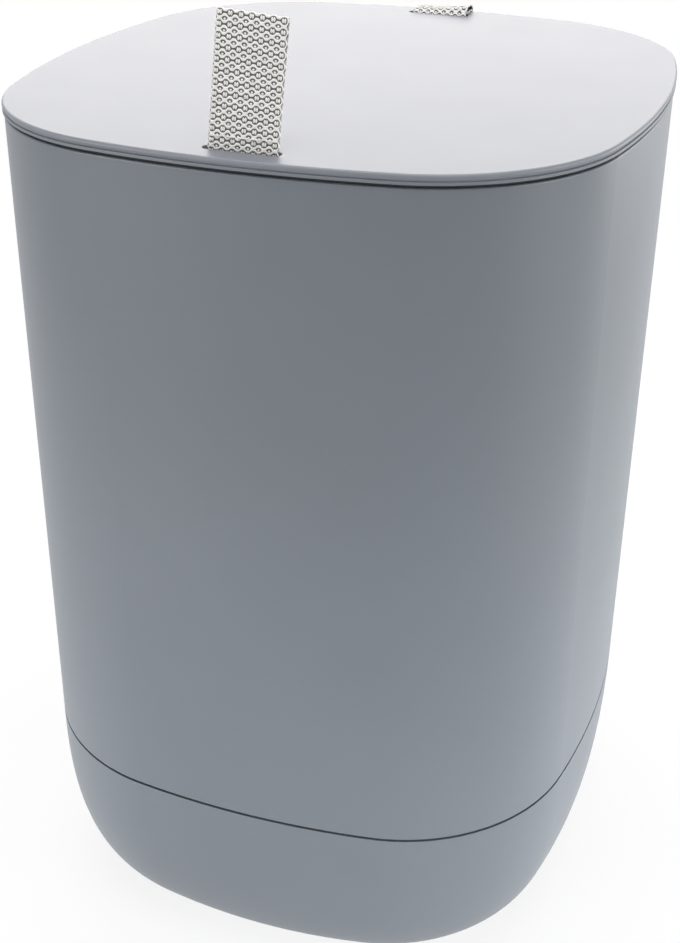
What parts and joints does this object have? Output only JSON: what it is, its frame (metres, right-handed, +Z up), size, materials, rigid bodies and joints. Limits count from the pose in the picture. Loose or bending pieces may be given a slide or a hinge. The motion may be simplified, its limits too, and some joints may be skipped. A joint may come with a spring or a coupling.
{
  "type": "bokashi bin",
  "caption": "Food-waste fermenting bin: tapering container with sump and drain tap in a bowl-shaped base, strainer inside, flat sealed lid with webbing pull loops.",
  "frame": {"origin": "on the floor under the middle of the body", "axes": "+Z up, -Y towards the front with the upright pull loop, +X to the right seen from the front"},
  "size_m": [0.28, 0.3005, 0.4483],
  "materials": {
    "shell": "fine satin moulding",
    "liner": "plain moulding",
    "seal": "soft matte",
    "webbing": "open looped webbing",
    "steel": "bright",
    "tap": "semi-gloss",
    "feet": "matte"
  },
  "bodies": {
    "base": {"base": "shell", "foot_front_left": "feet", "foot_front_right": "feet", "foot_rear_left": "feet", "foot_rear_right": "feet"},
    "container": {"container": "shell", "tap_body": "tap", "tap_washer_outer": "seal", "tap_washer_inner": "seal", "tap_nut": "tap", "tap_bonnet": "tap"},
    "lid": {"lid_cover": "shell", "lid_liner": "liner", "lid_gasket": "seal", "strap_front_wrap": "webbing", "strap_front_bar": "steel", "strap_front_clamp": "liner", "strap_rear_wrap": "webbing", "strap_rear_bar": "steel", "strap_rear_clamp": "liner", "strap_clamp_screws": "steel"},
    "strap_front": {"strap_front": "webbing"},
    "strap_rear": {"strap_rear": "webbing"},
    "strap_rear_end": {"strap_rear_end": "webbing"},
    "strainer": {"strainer": "liner"},
    "tap_plug": {"tap_plug": "tap", "tap_o_rings": "seal", "tap_lever": "tap", "tap_lever_screw": "steel"}
  },
  "joints": [
    {"name": "container_lift", "type": "slide", "parent": "base", "child": "container", "axis": [0, 0, 1], "range_m": [0, 0.12]},
    {"name": "lid_lift", "type": "slide", "parent": "container", "child": "lid", "axis": [0, 0, 1], "range_m": [0, 0.15]},
    {"name": "strainer_lift", "type": "slide", "parent": "container", "child": "strainer", "axis": [0, 0, 1], "range_m": [0, 0.25]},
    {"name": "tap_turn", "type": "hinge", "parent": "container", "child": "tap_plug", "pos_m": [0, 0.088, 0.034], "axis": [0, 0, -1], "range_deg": [0, 90]},
    {"name": "strap_front_fold", "type": "hinge", "parent": "lid", "child": "strap_front", "pos_m": [0, -0.136, 0.3996], "axis": [1, 0, 0], "range_deg": [-72, 100]},
    {"name": "strap_rear_fold", "type": "hinge", "parent": "lid", "child": "strap_rear", "pos_m": [0, 0.136, 0.3996], "axis": [1, 0, 0], "range_deg": [0, 100]},
    {"name": "strap_rear_straighten", "type": "hinge", "parent": "strap_rear", "child": "strap_rear_end", "pos_m": [0, 0.15045, 0.3996], "axis": [1, 0, 0], "range_deg": [0, 90]}
  ],
  "couplings": [
    {"joint": "strap_rear_straighten", "follows": "strap_rear_fold", "ratio": 0.9}
  ]
}
